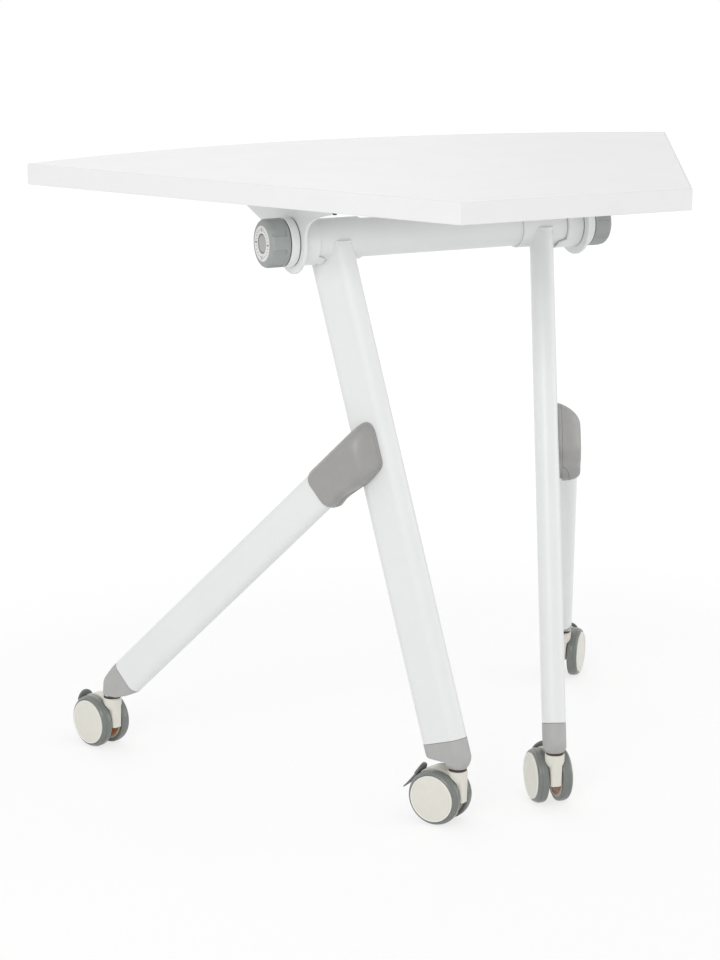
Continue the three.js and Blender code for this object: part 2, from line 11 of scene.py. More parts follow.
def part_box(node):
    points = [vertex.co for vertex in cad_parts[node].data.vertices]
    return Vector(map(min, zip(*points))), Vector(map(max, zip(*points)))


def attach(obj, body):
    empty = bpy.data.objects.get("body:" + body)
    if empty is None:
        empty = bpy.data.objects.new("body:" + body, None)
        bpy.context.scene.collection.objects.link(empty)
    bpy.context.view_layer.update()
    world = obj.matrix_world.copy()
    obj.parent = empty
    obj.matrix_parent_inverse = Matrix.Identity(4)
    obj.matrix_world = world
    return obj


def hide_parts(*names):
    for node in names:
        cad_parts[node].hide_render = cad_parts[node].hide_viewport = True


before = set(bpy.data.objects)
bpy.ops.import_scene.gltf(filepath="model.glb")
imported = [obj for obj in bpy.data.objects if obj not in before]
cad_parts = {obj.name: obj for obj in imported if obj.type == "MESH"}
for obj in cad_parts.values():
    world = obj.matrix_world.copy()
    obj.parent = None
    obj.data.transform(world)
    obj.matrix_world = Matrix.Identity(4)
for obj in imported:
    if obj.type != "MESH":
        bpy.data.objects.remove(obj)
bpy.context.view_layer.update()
mm = 0.001
print("frame loaded,", len(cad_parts), "nodes")


def nodeMiddle(name):
    low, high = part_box(name)
    return (low + high) / 2 / mm


beamMiddle = nodeMiddle("beam_tube")
topMiddle = nodeMiddle("edge_band")
sides = {"left": -1, "right": 1}


# Materials

def hexColor(text):
    channels = [int(text[i:i + 2], 16) / 255 for i in (1, 3, 5)]
    linear = [c / 12.92 if c <= 0.04045 else ((c + 0.055) / 1.055) ** 2.4 for c in channels]
    return (*linear, 1)


def addNode(tree, kind, settings=None, links=None):
    node = tree.nodes.new(kind)
    for key, value in (settings or {}).items():
        if key in node.inputs:
            node.inputs[key].default_value = value
        else:
            setattr(node, key, value)
    for key, (source, output) in (links or {}).items():
        tree.links.new(source.outputs[output], node.inputs[key])
    return node


def emptyTree(owner):
    owner.use_nodes = True
    owner.node_tree.nodes.clear()
    return owner.node_tree


def addNoise(tree, place, width, detail, rough):
    return addNode(tree, "ShaderNodeTexNoise",
                   {"Scale": 1 / (width * mm), "Detail": detail, "Roughness": rough},
                   {"Vector": (place, "Object")})


grainDepth = 0.3  # of the grain's width


# Grained surface: a pale and a dark tone drift over it, fine grain lifts the surface and breaks the gloss.
def grainedMaterial(name, look):
    material = bpy.data.materials.new(name)
    tree = emptyTree(material)
    place = addNode(tree, "ShaderNodeTexCoord")
    drift = addNoise(tree, place, look["drift"], 3, 0.6)
    tone = addNode(tree, "ShaderNodeMix", {"data_type": "RGBA"}, {"Factor": (drift, "Fac")})
    tone.inputs[6].default_value = hexColor(look["dark"])
    tone.inputs[7].default_value = hexColor(look["pale"])
    grain = addNoise(tree, place, look["grain"], 2, 0.5)
    gloss = addNode(tree, "ShaderNodeMapRange",
                    {"To Min": look["rough"] - look["spread"], "To Max": look["rough"] + look["spread"]},
                    {"Value": (grain, "Fac")})
    bump = addNode(tree, "ShaderNodeBump",
                   {"Strength": look["bump"], "Distance": look["grain"] * mm * grainDepth},
                   {"Height": (grain, "Fac")})
    skin = addNode(tree, "ShaderNodeBsdfPrincipled",
                   {"IOR": look.get("ior", 1.5), "Metallic": look.get("metal", 0.0)},
                   {"Roughness": (gloss, "Result"), "Normal": (bump, "Normal")})
    tree.links.new(tone.outputs[2], skin.inputs["Base Color"])
    addNode(tree, "ShaderNodeOutputMaterial", None, {"Surface": (skin, "BSDF")})
    return material


looks = {
    # melamine laminate, pressed against a pearl plate: flat white with a faint bloom
    "melamineLaminate": {"pale": "#f6f6f6", "dark": "#f0f0f0", "drift": 60, "grain": 0.9, "rough": 0.42,
                         "spread": 0.05, "bump": 0.05},
    # extruded PVC edging: a shade greyer than the top, drawn smooth
    "pvcEdging": {"pale": "#f1f1f1", "dark": "#ebebeb", "drift": 40, "grain": 1.2, "rough": 0.45,
                  "spread": 0.05, "bump": 0.04},
    # epoxy powder coat on steel tube: satin white with orange peel, drawn coarse enough to show
    "powderCoat": {"pale": "#edeeee", "dark": "#e7e8e8", "drift": 50, "grain": 1.6, "rough": 0.36,
                   "spread": 0.06, "bump": 0.07},
    # spark eroded polypropylene: pale grey foot caps with a dry grain
    "grainedPolypropylene": {"pale": "#b7b7b6", "dark": "#acacab", "drift": 14, "grain": 0.7, "rough": 0.55,
                             "spread": 0.08, "bump": 0.16, "ior": 1.49},
    # moulded ABS: warm grey joint covers, soft highlights on the rounded edges
    "mouldedAbs": {"pale": "#a3a2a1", "dark": "#989796", "drift": 18, "grain": 0.7, "rough": 0.38,
                   "spread": 0.07, "bump": 0.14, "ior": 1.53},
    # glass filled nylon: darker grey clamp knobs, dull and slightly mottled
    "filledNylon": {"pale": "#a6aaa9", "dark": "#959998", "drift": 9, "grain": 0.6, "rough": 0.5,
                    "spread": 0.08, "bump": 0.18, "ior": 1.53},
    # thermoplastic polyurethane tread: mid grey, waxy sheen
    "treadUrethane": {"pale": "#7f837f", "dark": "#737772", "drift": 8, "grain": 0.5, "rough": 0.2,
                      "spread": 0.08, "bump": 0.12},
    # natural nylon: cream caster housings and discs
    "naturalNylon": {"pale": "#e9e7de", "dark": "#dfddd1", "drift": 10, "grain": 0.6, "rough": 0.42,
                     "spread": 0.07, "bump": 0.1, "ior": 1.53},
    # pale nylon for the raised bead round each disc; its paler colour paints part of the bright highlight
    # line there
    "paleHighlightNylon": {"pale": "#f4f4f0", "dark": "#ecece6", "drift": 6, "grain": 0.5, "rough": 0.36,
                   "spread": 0.06, "bump": 0.06, "ior": 1.53},
    # dark grey nylon: brake pedals and the bushes in the beam; the same dark grey paints the shade line along
    # the covers' parting line
    "greyNylonAndSeamShade": {"pale": "#757975", "dark": "#676b67", "drift": 7, "grain": 0.6, "rough": 0.46,
                  "spread": 0.08, "bump": 0.14, "ior": 1.53},
    # greased brown acetal: the plates inside the wheels, speckled
    "brownAcetal": {"pale": "#dca268", "dark": "#a06a38", "drift": 1.6, "grain": 0.8, "rough": 0.38,
                    "spread": 0.1, "bump": 0.2, "ior": 1.48},
    # zinc plated steel: stems, rod, axles and screw heads
    "zincSteel": {"pale": "#c3c6c8", "dark": "#a9adb0", "drift": 4, "grain": 0.5, "rough": 0.3,
                  "spread": 0.08, "bump": 0.06, "metal": 1.0},
    # screen printed film on the knobs, and dark brown ink: its plain marks; the same dark brown paints the
    # shade in the gap round each stem
    "whiteFilm": {"pale": "#e9e9e7", "dark": "#e1e1df", "drift": 6, "grain": 0.5, "rough": 0.4,
                  "spread": 0.05, "bump": 0.04},
    "inkAndStemShade": {"pale": "#4a3a2c", "dark": "#34281e", "drift": 2, "grain": 0.4, "rough": 0.5,
                 "spread": 0.05, "bump": 0.03},
    # soft black rubber: the buffers under the top, dull and near black; the same dark tone paints the shade
    # in the gaps beside the collar, plate, boss and knob
    "rubberAndGapShade": {"pale": "#4c4c4b", "dark": "#3c3c3b", "drift": 3, "grain": 0.5, "rough": 0.65,
                     "spread": 0.08, "bump": 0.15},
}
materials = {name: grainedMaterial(name, look) for name, look in looks.items()}
print("materials", len(materials))


# Shapes

def tidied(bm):
    bmesh.ops.remove_doubles(bm, verts=bm.verts, dist=1e-4)
    bmesh.ops.recalc_face_normals(bm, faces=bm.faces)
    return bm


def linked(bm, verts):
    return [bm.edges.new(pair) for pair in zip(verts, verts[1:])]


# Spins a row of radius and height points once round Z; a closed row ends where it began.
def turnProfile(points, steps, closed=False):
    bm = bmesh.new()
    chain = [bm.verts.new((radius, 0, height)) for radius, height in points]
    links = linked(bm, chain)
    if closed:
        links.append(bm.edges.new((chain[-1], chain[0])))
    bmesh.ops.spin(bm, geom=chain + links, cent=(0, 0, 0), axis=(0, 0, 1), angle=math.tau, steps=steps,
                   use_merge=True)
    return tidied(bm)


def bevelled(bm, geom, width, segments, affect="EDGES"):
    bmesh.ops.bevel(bm, geom=geom, offset=width, offset_type="OFFSET", segments=segments, profile=0.5,
                    affect=affect, material=-1, clamp_overlap=True)
    return bm


def softEdges(bm, width, segments, sharp=35):
    edges = [e for e in bm.edges if len(e.link_faces) == 2 and e.calc_face_angle(0) > math.radians(sharp)]
    return bevelled(bm, edges, width, segments)


# A flat face from a few corners in X and Y, its corners rounded.
def outlineFace(points, corner, segments):
    bm = bmesh.new()
    bm.faces.new([bm.verts.new((x, y, 0)) for x, y in points])
    return bevelled(bm, bm.verts[:], corner, segments, "VERTICES")


def thicken(bm, low, high):
    faces = bm.faces[:]
    bmesh.ops.translate(bm, verts=bm.verts, vec=(0, 0, low))
    made = bmesh.ops.extrude_face_region(bm, geom=faces)["geom"]
    raised = [v for v in made if isinstance(v, bmesh.types.BMVert)]
    bmesh.ops.translate(bm, verts=raised, vec=(0, 0, high - low))
    return tidied(bm)


# A closed skin over a row of loops with equal counts, its two ends filled.
def skinned(loops):
    bm = bmesh.new()
    rings = [[bm.verts.new(point) for point in loop] for loop in loops]
    for low, high in zip(rings, rings[1:]):
        for i, vert in enumerate(low):
            bm.faces.new((vert, low[i - 1], high[i - 1], high[i]))
    bm.faces.new(rings[0])
    bm.faces.new(rings[-1])
    return tidied(bm)


ovalSteps = {"round": 64, "flat": 15}


# A flat oval section in X and Y, drawn out along Z.
def ovalBar(width, thickness, low, high):
    bm = bmesh.new()
    steps = ovalSteps["round"]
    halfStep = Matrix.Rotation(math.pi / steps, 4, "Z")
    bmesh.ops.create_circle(bm, cap_ends=True, segments=steps, radius=thickness / 2, matrix=halfStep)
    reach = (width - thickness) / 2
    for v in bm.verts:
        v.co.x += math.copysign(reach, v.co.x)
    flats = [e for e in bm.edges if e.calc_length() > reach]
    bmesh.ops.subdivide_edges(bm, edges=flats, cuts=ovalSteps["flat"])
    return thicken(bm, low, high)


def moved(bm, matrix):
    bmesh.ops.transform(bm, matrix=matrix, verts=bm.verts)
    if matrix.determinant() < 0:
        bmesh.ops.reverse_faces(bm, faces=bm.faces)
    return bm


# A part drawn flat in X and Y, with its thickness on Z, stands up in X and Z.
def standing(outward):
    return Matrix(((1, 0, 0), (0, 0, outward), (0, 1, 0))).to_4x4()


def joined(first, *others):
    for other in others:
        spare = bpy.data.meshes.new("spare")
        other.to_mesh(spare)
        other.free()
        first.from_mesh(spare)
        bpy.data.meshes.remove(spare)
    return first


def boxShape(low, high):
    bm = bmesh.new()
    size = [b - a for a, b in zip(low, high)]
    middle = [(a + b) / 2 for a, b in zip(low, high)]
    bmesh.ops.create_cube(bm, size=1, matrix=Matrix.Translation(middle) @ Matrix.Diagonal((*size, 1)))
    return bm


def newObject(name, data):
    thing = bpy.data.objects.new(name, data)
    bpy.context.scene.collection.objects.link(thing)
    return thing


def shapeObject(bm, name):
    mesh = bpy.data.meshes.new(name)
    bm.to_mesh(mesh)
    bm.free()
    return newObject(name, mesh)


# Joins, cuts or keeps one shape with another.
def combined(body, tool, operation):
    bodyThing, toolThing = shapeObject(body, "body"), shapeObject(tool, "tool")
    change = bodyThing.modifiers.new("change", "BOOLEAN")
    change.operation = operation
    change.solver = "EXACT"
    change.object = toolThing
    seen = bodyThing.evaluated_get(bpy.context.evaluated_depsgraph_get())
    bm = bmesh.new()
    bm.from_mesh(seen.to_mesh())
    seen.to_mesh_clear()
    for thing in (bodyThing, toolThing):
        mesh = thing.data
        bpy.data.objects.remove(thing)
        bpy.data.meshes.remove(mesh)
    bmesh.ops.remove_doubles(bm, verts=bm.verts, dist=1e-3)
    bmesh.ops.dissolve_degenerate(bm, edges=bm.edges, dist=1e-3)
    return tidied(bm)


def makePiece(name, bm, material, body, nodes, sharp=32):
    bmesh.ops.transform(bm, matrix=Matrix.Scale(mm, 4), verts=bm.verts)
    piece = shapeObject(bm, name)
    piece.data.shade_smooth()
    piece.data.set_sharp_from_angle(angle=math.radians(sharp))
    even = piece.modifiers.new("evenNormals", "WEIGHTED_NORMAL")
    even.keep_sharp = True
    piece.data.materials.append(materials[material])
    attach(piece, body)
    if nodes:
        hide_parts(*nodes)


# A powder coated steel part that takes the place of one node.
def makeCoated(name, bm, body, node):
    makePiece(name, bm, "powderCoat", body, [node])


# The top: laminate board, edging and buffers

top = {"width": 871, "depth": 603, "rise": 96, "sideAngle": 60, "thickness": 24, "band": 2,
       "edge": 1, "edgeSteps": 4, "arcSteps": 96, "seam": 0.06, "boardDrop": 0.03, "boardEdge": 0.12}
topUnder = topMiddle.z - top["thickness"] / 2


def topFace():
    half, crown = top["width"] / 2, top["depth"] / 2
    radius = (half ** 2 + top["rise"] ** 2) / (2 * top["rise"])
    frontHalf = half - (top["depth"] - top["rise"]) / math.tan(math.radians(top["sideAngle"]))
    shoulder = crown - top["rise"]
    corners = [(-half, shoulder), (-frontHalf, -crown), (frontHalf, -crown), (half, shoulder)]
    bm = bmesh.new()
    chain = [bm.verts.new((x, y, 0)) for x, y in corners]
    linked(bm, chain)
    bmesh.ops.spin(bm, geom=[chain[-1]], cent=(0, crown - radius, 0), axis=(0, 0, 1),
                   angle=2 * math.asin(half / radius), steps=top["arcSteps"])
    bmesh.ops.remove_doubles(bm, verts=bm.verts, dist=0.01)
    bmesh.ops.contextual_create(bm, geom=bm.edges[:])
    bmesh.ops.translate(bm, verts=bm.verts, vec=(0, topMiddle.y, 0))
    return bm


# The band is rounded on its outside only, so it meets the board in a fine line.
def roundOutside(bm):
    walls = {f for f in bm.faces
             if abs(f.normal.z) < 0.5 and f.normal.dot(f.calc_center_median() - topMiddle) > 0}
    edges = [e for e in bm.edges
             if walls.intersection(e.link_faces) and e.calc_face_angle(0) > math.radians(40)]
    return bevelled(bm, edges, top["edge"], top["edgeSteps"])


def buildTop():
    band = topFace()
    core = band.faces[:]
    bmesh.ops.inset_region(band, faces=core, thickness=top["band"], use_even_offset=True, use_boundary=True)
    bmesh.ops.delete(band, geom=core, context="FACES")
    roundOutside(thicken(band, topUnder, topUnder + top["thickness"]))
    makePiece("edging", band, "pvcEdging", "tabletop", ["edge_band"])

    board = topFace()
    core = board.faces[:]
    rim = bmesh.ops.inset_region(board, faces=core, thickness=top["band"] + top["seam"], use_even_offset=True,
                                 use_boundary=True)["faces"]
    bmesh.ops.delete(board, geom=rim, context="FACES")
    thicken(board, topUnder, topUnder + top["thickness"] - top["boardDrop"])
    softEdges(board, top["boardEdge"], 2, 60)
    makePiece("top_board_laminate", board, "melamineLaminate", "tabletop", ["top_board"])


buffer = {"x": 218, "y": -165, "radius": 3, "taper": 1, "height": 2.5, "soft": 0.5}


def buildBuffers():
    for label, side in sides.items():
        wide, tall = buffer["radius"], buffer["height"]
        bm = turnProfile([(0, 0), (wide, 0), (wide - buffer["taper"], -tall), (0, -tall)], 32)
        softEdges(bm, buffer["soft"], 3)
        moved(bm, Matrix.Translation((side * buffer["x"], buffer["y"], topUnder)))
        makePiece(label + "_top_buffer", bm, "rubberAndGapShade", "tabletop", ())


buildTop()
buildBuffers()
print("top done")


# The beam line. Each part is turned about its own Z, which points outwards along the beam, X hangs down.

def beamPlace(side):
    turn = Matrix(((0, 0, side), (0, side, 0), (-1, 0, 0))).to_4x4()
    return Matrix.Translation((0, beamMiddle.y, beamMiddle.z)) @ turn


beam = {"radius": 22.3, "bore": 20.3, "half": 184}
sleeve = {"bore": 22.4, "radius": 24.5, "inner": 104, "outer": 163}
collar = {"bore": 22.6, "radius": 28, "inner": 163.4, "outer": 183.75, "tongueReach": 9, "tongueRoot": 3,
          "tongueBore": 25.6, "tongueFront": 58, "tongueTip": 44, "tongueBack": 8, "tongueSoft": 0.35}
boss = {"bore": 5.4, "radius": 28.5, "inner": 189.2, "outer": 199.5, "soft": 1.2}
# Thin dark rings in the gaps beside the collar, the flip plate, the boss and the knob: painted shade,
# standing in for the shadow in those gaps.
gapShadeBore, gapShadeSoft = 24.6, 0.1
gapShadeRings = {"collar": (27.5, 183.8, 184.35), "plate": (28, 188.45, 189.15), "knob": (27.4, 199.55, 200.25)}


def ringProfile(bore, radius, low, high, steps=96):
    return turnProfile([(bore, low), (radius, low), (radius, high), (bore, high)], steps, True)


def ringShape(part, soft=0.7):
    return softEdges(ringProfile(part["bore"], part["radius"], part["inner"], part["outer"]), soft, 3)


# A tongue of the collar lies under the lower front of the sleeve and narrows towards its tip.
def tongueShape(hand):
    tip, root = collar["inner"] - collar["tongueReach"], collar["inner"] + collar["tongueRoot"]
    back, front = math.radians(collar["tongueBack"]), math.radians(collar["tongueFront"])
    bm = bmesh.new()
    low, high = collar["tongueBore"], collar["radius"]
    corners = [(low, tip), (high, tip), (high, root), (low, root)]
    face = bm.faces.new([bm.verts.new((x, 0, z)) for x, z in corners])
    bmesh.ops.rotate(bm, verts=bm.verts, cent=(0, 0, 0), matrix=Matrix.Rotation(hand * back, 3, "Z"))
    bmesh.ops.spin(bm, geom=[face], cent=(0, 0, 0), axis=(0, 0, 1), angle=hand * (front - back), steps=20)
    tidied(bm)
    slant = math.radians(collar["tongueFront"] - collar["tongueTip"])
    for v in bm.verts:
        if v.co.z < tip + 0.1:
            share = (abs(math.atan2(v.co.y, v.co.x)) - back) / (front - back)
            v.co.rotate(Matrix.Rotation(-hand * slant * share, 3, "Z"))
    return softEdges(bm, collar["tongueSoft"], 3, 50)


def buildBeam():
    tube = ringProfile(beam["bore"], beam["radius"], -beam["half"], beam["half"])
    makeCoated("beam", moved(tube, beamPlace(1)), "frame", "beam_tube")
    for label, side in sides.items():
        place = beamPlace(side)
        makeCoated(label + "_sleeve", moved(ringShape(sleeve), place), "frame", label + "_leg_sleeve")
        ring = joined(ringShape(collar), tongueShape(-side))
        makeCoated(label + "_collar", moved(ring, place), "tabletop", label + "_flip_collar")
        ring = ringShape(boss, boss["soft"])
        makeCoated(label + "_boss", moved(ring, place), "tabletop", label + "_boss_ring")
        # dark rings painted into the gaps, standing in for the shade there
        dark = bmesh.new()
        for radius, inner, outer in gapShadeRings.values():
            thin = {"bore": gapShadeBore, "radius": radius, "inner": inner, "outer": outer}
            dark = joined(dark, ringShape(thin, gapShadeSoft))
        makePiece(label + "_gap_shade_rings", moved(dark, place), "rubberAndGapShade", "tabletop", ())


plate = {"front": 110, "back": 185, "lip": 12, "lobe": 37, "waist": 8, "taperStart": 52, "taperRise": 6,
         "drop": 56.5, "thick": 4, "inner": 184.4, "flange": 36, "flangeSoft": 1.2, "soft": 0.7,
         "frontPull": (-58, -9), "lobePull": (-1, 19), "tailPulls": ((37.6, -1, 0), (44, 3, 0))}
screw = {"x": 166, "along": (-92, -38, 70, 165), "radius": 4.2, "head": 2.4, "crown": 2.94, "shoulder": 1.08,
         "socket": 1.9, "socketFloor": 0.78}


# Flip plate: a lobed web in Y and Z with a flange folded inwards under the top.
def plateShape():
    lipFoot = plate["drop"] - plate["lip"]
    swing = math.asin(plate["waist"] / plate["lobe"])
    waistY = -plate["lobe"] * math.cos(swing)
    pullY, pullZ = plate["frontPull"]
    lobeY, lobeZ = plate["lobePull"]
    bend = interpolate_bezier(Vector((-plate["front"], lipFoot, 0)), Vector((pullY, lipFoot + pullZ, 0)),
                              Vector((waistY + lobeY, plate["waist"] + lobeZ, 0)),
                              Vector((waistY, plate["waist"], 0)), 18)
    bm = bmesh.new()
    corners = [(plate["back"], lipFoot), (plate["back"], plate["drop"]), (-plate["front"], plate["drop"])]
    chain = [bm.verts.new((y, z, 0)) for y, z in corners] + [bm.verts.new(p) for p in bend]
    linked(bm, chain)
    lobe = bmesh.ops.spin(bm, geom=[chain[-1]], cent=(0, 0, 0), axis=(0, 0, 1), angle=math.pi,
                          steps=48)["geom_last"][0]
    first, second = (Vector(pull) for pull in plate["tailPulls"])
    out = interpolate_bezier(lobe.co.copy(), first, second,
                             Vector((plate["taperStart"], plate["taperRise"], 0)), 8)
    linked(bm, [lobe] + [bm.verts.new(p) for p in out[1:]] + [chain[0]])
    bmesh.ops.contextual_create(bm, geom=bm.edges[:])
    return softEdges(thicken(bm, 0, plate["thick"]), plate["soft"], 3, 50)


def screwShape():
    s = screw
    bm = turnProfile([(0, -s["socketFloor"]), (s["socket"], -s["socketFloor"]), (s["socket"], -s["head"]),
                      (s["crown"], -s["head"]), (s["radius"], -s["shoulder"]), (s["radius"], 0), (0, 0)], 24)
    return softEdges(bm, 0.25, 2, 50)


def buildPlates():
    # local X, Y, Z of the web become the table's Y, Z, X
    upright = Matrix(((0, 0, 1), (1, 0, 0), (0, 1, 0))).to_4x4()
    for label, side in sides.items():
        inner = plate["inner"] if side > 0 else -plate["inner"] - plate["thick"]
        web = moved(plateShape(), Matrix.Translation((inner, beamMiddle.y, beamMiddle.z)) @ upright)
        reach = sorted(side * (plate["inner"] + x) for x in (1, plate["thick"] - plate["flange"]))
        flange = boxShape((reach[0], beamMiddle.y - plate["front"] + 0.05, topUnder - plate["thick"]),
                          (reach[1], beamMiddle.y + plate["back"] - 0.05, topUnder - 0.02))
        body = joined(web, softEdges(flange, plate["flangeSoft"], 3))
        makeCoated(label + "_flip_plate_coated", body, "tabletop", label + "_flip_plate")
        heads = bmesh.new()
        for y in screw["along"]:
            spot = Matrix.Translation((side * screw["x"], beamMiddle.y + y, topUnder - plate["thick"]))
            heads = joined(heads, moved(screwShape(), spot))
        makePiece(label + "_plate_screws", heads, "zincSteel", "tabletop", ())


knob = {"back": 200.3, "length": 24, "radius": 28, "backSoft": 0.9, "round": 5.8, "flutes": 8,
        "fluteDeep": 1.3, "fluteBack": 5.2, "fluteTurn": 29.5, "fluteFrom": 0.62, "fluteRamp": 0.2,
        "recess": 11, "recessDeep": 2.5, "button": 10.2, "filmInner": 11.6, "filmOuter": 20.4,
        "filmThick": 0.25, "filmSoft": 0.12, "marks": 24, "longEvery": 6, "longMark": (1.5, 4.4),
        "shortMark": (0.7, 2.2), "markThick": 0.06}


# A turned grip with a round front rim; narrow flutes are then pressed into its side, short of the back rim.
def knobShape():
    r, front, soft, back = knob["radius"], knob["length"], knob["round"], knob["fluteBack"]
    rim = [(r - soft + soft * math.cos(turn), front - soft + soft * math.sin(turn))
           for turn in (math.radians(10 * step) for step in range(10))]
    edge, hole, sunk = knob["backSoft"], knob["recess"], front - knob["recessDeep"]
    side = [(0, 0), (r - edge, 0), (r, edge), (r, back - 0.2), (r, back + 0.2)]
    well = [(hole + 0.5, front), (hole, front - 0.5), (hole - 0.4, sunk), (0, sunk)]
    bm = turnProfile(side + rim + well, knob["flutes"] * 30)
    for v in bm.verts:
        turn = math.atan2(v.co.y, v.co.x) - math.radians(knob["fluteTurn"])
        wave = (math.cos(knob["flutes"] * turn) - knob["fluteFrom"]) / knob["fluteRamp"]
        limit = r - knob["fluteDeep"] * min(1, max(0, wave))
        if v.co.z > back and v.co.xy.length > limit:
            v.co.xy *= limit / v.co.xy.length
    return bm


# Plain scale on the film: a long mark now and then, short ones between.
def marksShape(foot):
    radius = (knob["filmInner"] + knob["filmOuter"]) / 2
    marks = bmesh.new()
    for turn in range(knob["marks"]):
        wide, tall = knob["shortMark"] if turn % knob["longEvery"] else knob["longMark"]
        mark = boxShape((-tall / 2, -wide / 2, foot), (tall / 2, wide / 2, foot + knob["markThick"]))
        spot = Matrix.Rotation(turn * math.tau / knob["marks"], 4, "Z") @ Matrix.Translation((radius, 0, 0))
        marks = joined(marks, moved(mark, spot))
    return marks


def buildKnobs():
    for label, side in sides.items():
        place = beamPlace(side) @ Matrix.Translation((0, 0, knob["back"]))
        body = label + "_knob"
        makePiece(label + "_knob_grip", moved(knobShape(), place), "filledNylon", body,
                  [label + "_clamp_knob"], 40)
        front = knob["length"]
        sunk = front - knob["recessDeep"]
        r = knob["button"]
        button = turnProfile([(0, sunk - 0.3), (r, sunk - 0.3), (r, front - 0.9), (r - 0.8, front - 0.3),
                              (r * 0.5, front - 0.1), (0, front)], 72)
        film = ringProfile(knob["filmInner"], knob["filmOuter"], front - 0.1, front + knob["filmThick"])
        marks = marksShape(front + knob["filmThick"] - 0.01)
        for part, bm, finish in (("_button", button, "grainedPolypropylene"),
                                 ("_film", softEdges(film, knob["filmSoft"], 2), "whiteFilm"),
                                 ("_marks", marks, "inkAndStemShade")):
            makePiece(body + part, moved(bm, place), finish, body, ())


buildBeam()
buildPlates()
buildKnobs()
print("beam line done")


# Legs. In a leg's frame X runs along its foot line from front to rear, Z up its plane and Y across it.

leg = {"topX": 140.5, "turn": 28.7, "reach": 494.5, "stemTop": 66, "mainWide": 56.5, "mainThick": 27.5,
       "rearWide": 46.3, "rearThick": 23, "lap": 1.35, "mainFoot": (16, 24), "mainCut": 8,
       "rearFoot": (26, 30.2), "rearSlope": 44.1, "rearBack": 16, "tubeSoft": 0.8, "bead": 1.6,
       "copeLevel": 0.3, "copeSink": 0.3}
rearOffset = (leg["mainThick"] + leg["rearThick"]) / 2 + leg["lap"]


def legPlace(side):
    label = "left" if side < 0 else "right"
    stem = nodeMiddle(f"front_{label}_caster_stem")
    front = Vector((stem.x, stem.y, leg["stemTop"]))
    high = Vector((side * leg["topX"], beamMiddle.y, beamMiddle.z))
    turn = math.radians(leg["turn"])
    along = Vector((side * math.sin(turn), math.cos(turn), 0))
    across = (high - front).cross(along).normalized()
    axes = Matrix((along, across, along.cross(across))).transposed().to_4x4()
    return Matrix.Translation(front) @ axes, high


# Where the two tube axes run in the leg's plane; both legs are alike.
def legLines():
    place, high = legPlace(1)
    head = place.inverted() @ high
    head = Vector((head.x, head.z))
    foot = Vector(leg["mainFoot"])
    mainAlong = (head - foot).normalized()
    slope = math.radians(leg["rearSlope"])
    rearAlong = Vector((math.cos(slope), -math.sin(slope)))
    rearEnd = Vector((leg["reach"] - leg["rearFoot"][0], leg["rearFoot"][1]))
    run = (rearEnd - foot).cross(rearAlong) / mainAlong.cross(rearAlong)
    return {"head": head, "mainAlong": mainAlong, "mainEnd": foot + mainAlong * leg["mainCut"],
            "rearAlong": rearAlong, "rearEnd": rearEnd, "crossing": foot + mainAlong * run}


lines = legLines()
alongMain, alongRear = lines["mainAlong"], lines["rearAlong"]
acrossRear = Vector((-alongRear.y, alongRear.x))


# Sets a bar drawn along Z onto a line of the leg's plane.
def onLine(start, along, across=0):
    turn = Matrix(((along.y, 0, along.x), (0, 1, 0), (-along.x, 0, along.y))).to_4x4()
    return Matrix.Translation((start.x, across, start.y)) @ turn


# Slides the upper end of the main tube along its axis until it meets the sleeve or is about level with the
# beam's axis, and gives back that rim.
def copeTube(bm, place, high, radius):
    toLeg = place.inverted()
    line = (toLeg.to_3x3() @ Vector((1, 0, 0))).normalized()
    centre = toLeg @ high
    run = Vector((alongMain.x, 0, alongMain.y))
    flatRun = run - line * run.dot(line)
    rise = toLeg.to_3x3() @ Vector((0, 0, 1))
    upper = max(bm.faces, key=lambda f: f.calc_center_median().z)
    rim = []
    for loop in upper.loops:
        off = loop.vert.co - centre
        flat = off - line * off.dot(line)
        a, b, c = flatRun.length_squared, flat.dot(flatRun), flat.length_squared - radius ** 2
        inside = b * b - a * c
        slide = (leg["copeLevel"] - off.dot(rise)) / run.dot(rise)
        if inside > 0:
            slide = min(slide, (-b - math.sqrt(inside)) / a)
        loop.vert.co += run * slide
        rim.append(loop.vert.co.copy())
    hub = bmesh.ops.poke(bm, faces=[upper])["verts"][0]
    hub.co = centre
    return rim


# A round bead along a line of points, closed into a ring or with two capped ends.
def beadShape(points, radius, ring=True):
    curve = bpy.data.curves.new("bead", "CURVE")
    curve.dimensions = "3D"
    curve.bevel_depth = radius
    curve.bevel_resolution = 4
    line = curve.splines.new("POLY")
    line.points.add(len(points) - 1)
    for spot, point in zip(line.points, points):
        spot.co = (*point, 1)
    line.use_cyclic_u = ring
    curve.use_fill_caps = not ring
    thing = newObject("bead", curve)
    bpy.context.view_layer.update()
    bm = bmesh.new()
    bm.from_mesh(thing.to_mesh())
    thing.to_mesh_clear()
    bpy.data.objects.remove(thing)
    bpy.data.curves.remove(curve)
    return tidied(bm)


def buildTubes():
    for label, side in sides.items():
        place, high = legPlace(side)
        length = (lines["head"] - lines["mainEnd"]).length
        main = ovalBar(leg["mainWide"], leg["mainThick"], 0, length)
        footRim = [e for e in main.edges if all(v.co.z < 0.01 for v in e.verts)]
        bevelled(main, footRim, leg["tubeSoft"], 2)
        moved(main, onLine(lines["mainEnd"], alongMain))
        rim = copeTube(main, place, high, sleeve["radius"] - leg["copeSink"])
        makeCoated(label + "_main_tube", moved(main, place), "frame", label + "_main_leg")
        weld = beadShape(rim, leg["bead"])
        makePiece(label + "_weld", moved(weld, place), "powderCoat", "frame", (), 60)
        start = lines["crossing"] + alongRear * leg["rearBack"]
        rear = ovalBar(leg["rearWide"], leg["rearThick"], 0, (lines["rearEnd"] - start).length)
        moved(softEdges(rear, leg["tubeSoft"], 2, 60), onLine(start, alongRear, -side * rearOffset))
        makeCoated(label + "_rear_tube", moved(rear, place), "frame", label + "_rear_leg")


